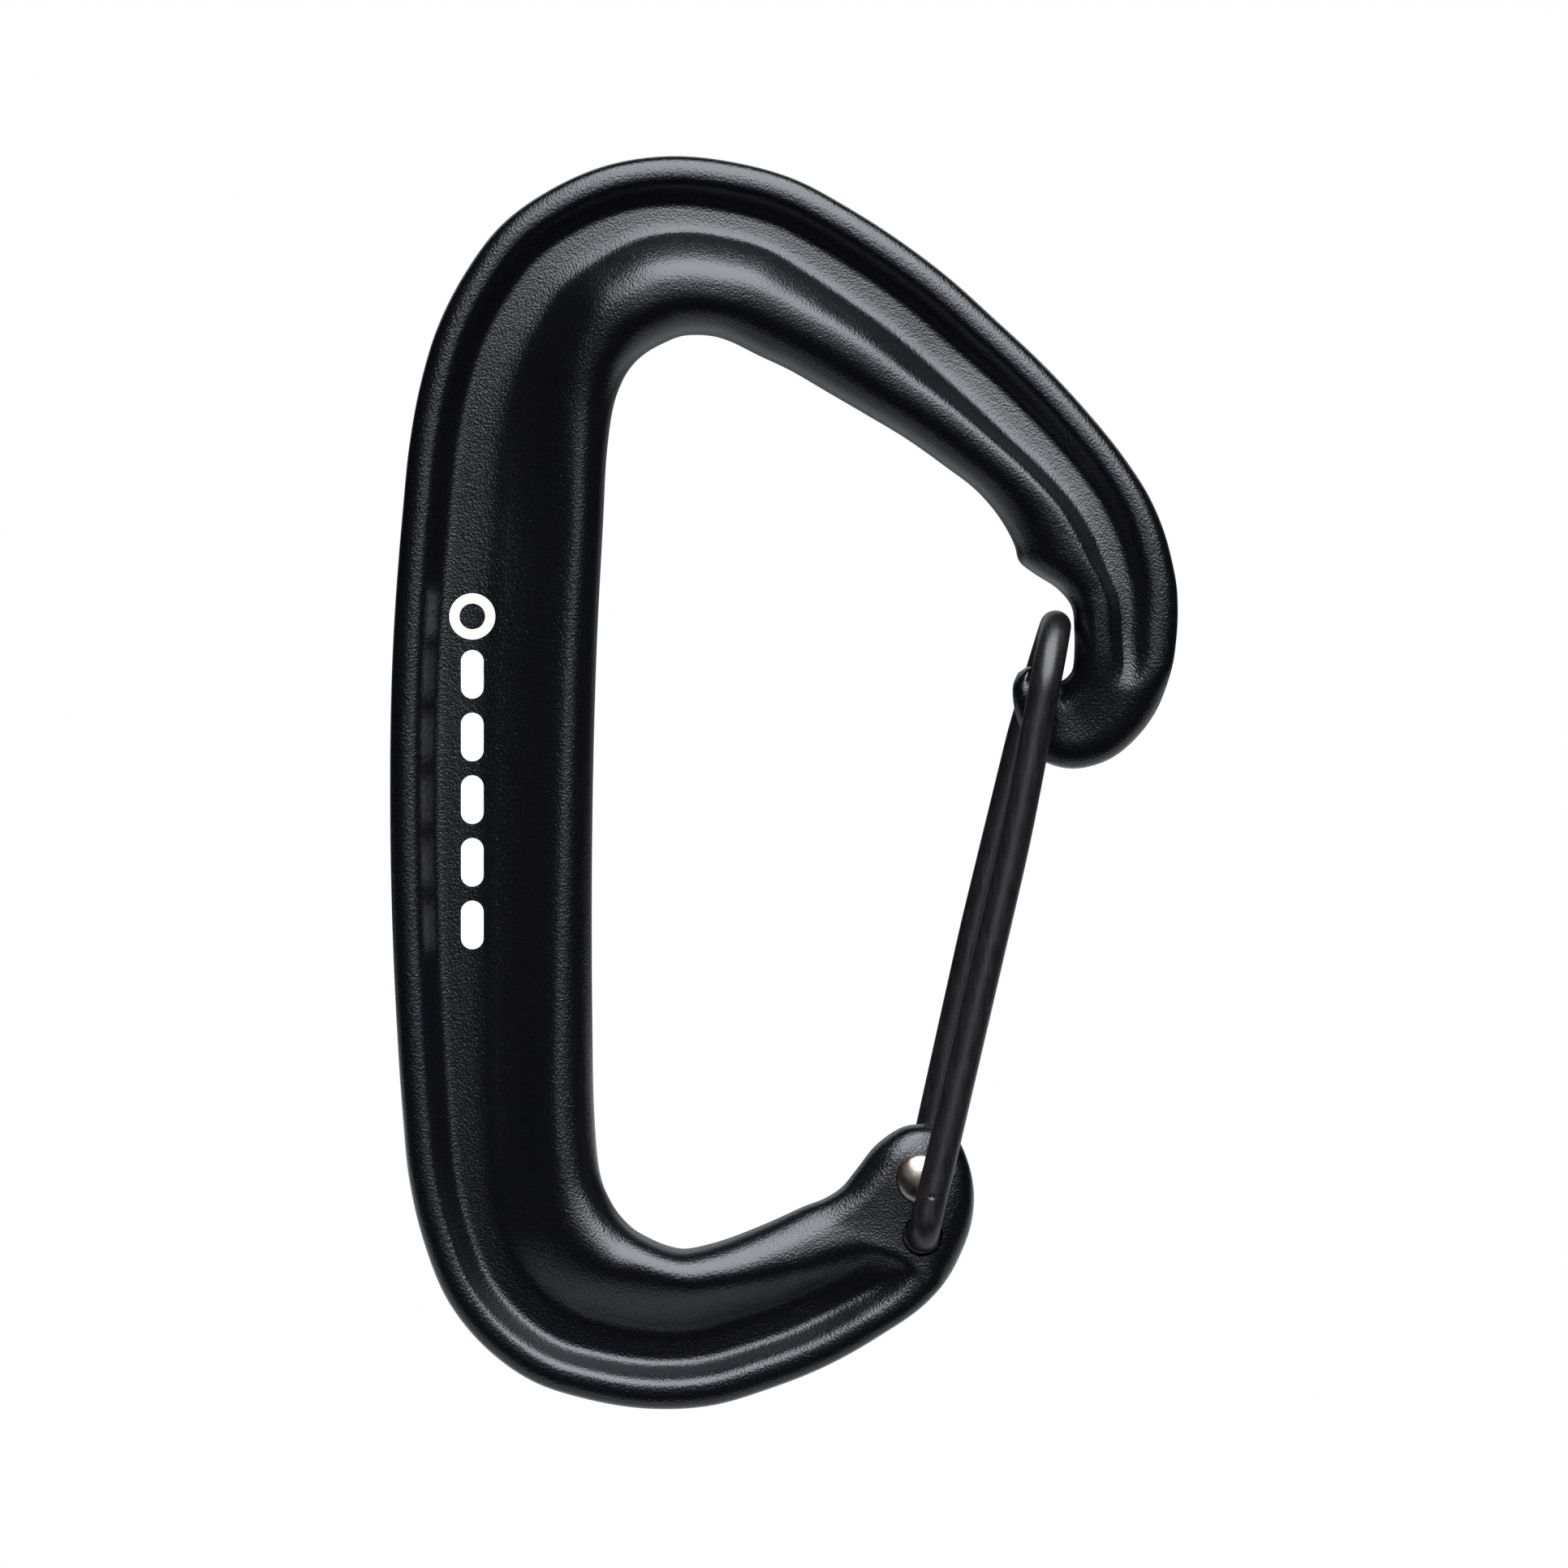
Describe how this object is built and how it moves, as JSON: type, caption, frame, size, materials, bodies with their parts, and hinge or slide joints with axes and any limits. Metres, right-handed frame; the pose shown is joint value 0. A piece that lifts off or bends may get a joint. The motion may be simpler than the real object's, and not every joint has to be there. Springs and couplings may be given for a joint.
{
  "type": "wiregate carabiner",
  "caption": "Wiregate climbing carabiner: forged offset-D frame with a channelled bar, and a sprung bent-wire gate that hooks behind the nose.",
  "frame": {"origin": "the crown's inner bearing point, on the mid-plane, where the upper rope or sling sits", "axes": "+X from the spine towards the gate, +Y from the front face to the back, +Z along the spine towards the crown"},
  "size_m": [0.0503, 0.011, 0.08],
  "materials": {
    "anodised_black": "black anodised, satin, fine orange-peel grain",
    "gate_steel": "dark drawn stainless wire, heads bare"
  },
  "bodies": {
    "frame": {"forged_frame": "anodised_black"},
    "gate": {"gate_front_wire": "gate_steel"},
    "gate_rear": {"gate_rear_wire": "gate_steel"}
  },
  "joints": [
    {"name": "gate_hinge", "type": "hinge", "parent": "frame", "child": "gate", "pos_m": [0.0145, 0, -0.0575], "axis": [0, -1, 0], "range_deg": [0, 40], "stiffness_Nm_per_rad": 0.03, "springref_deg": -28.65},
    {"name": "leg_flex", "type": "hinge", "parent": "gate", "child": "gate_rear", "pos_m": [0.024, 0, -0.0224], "axis": [0, -1, 0], "range_deg": [0, 4.4]}
  ],
  "couplings": [
    {"joint": "leg_flex", "follows": "gate_hinge", "ratio": 0.1066}
  ]
}
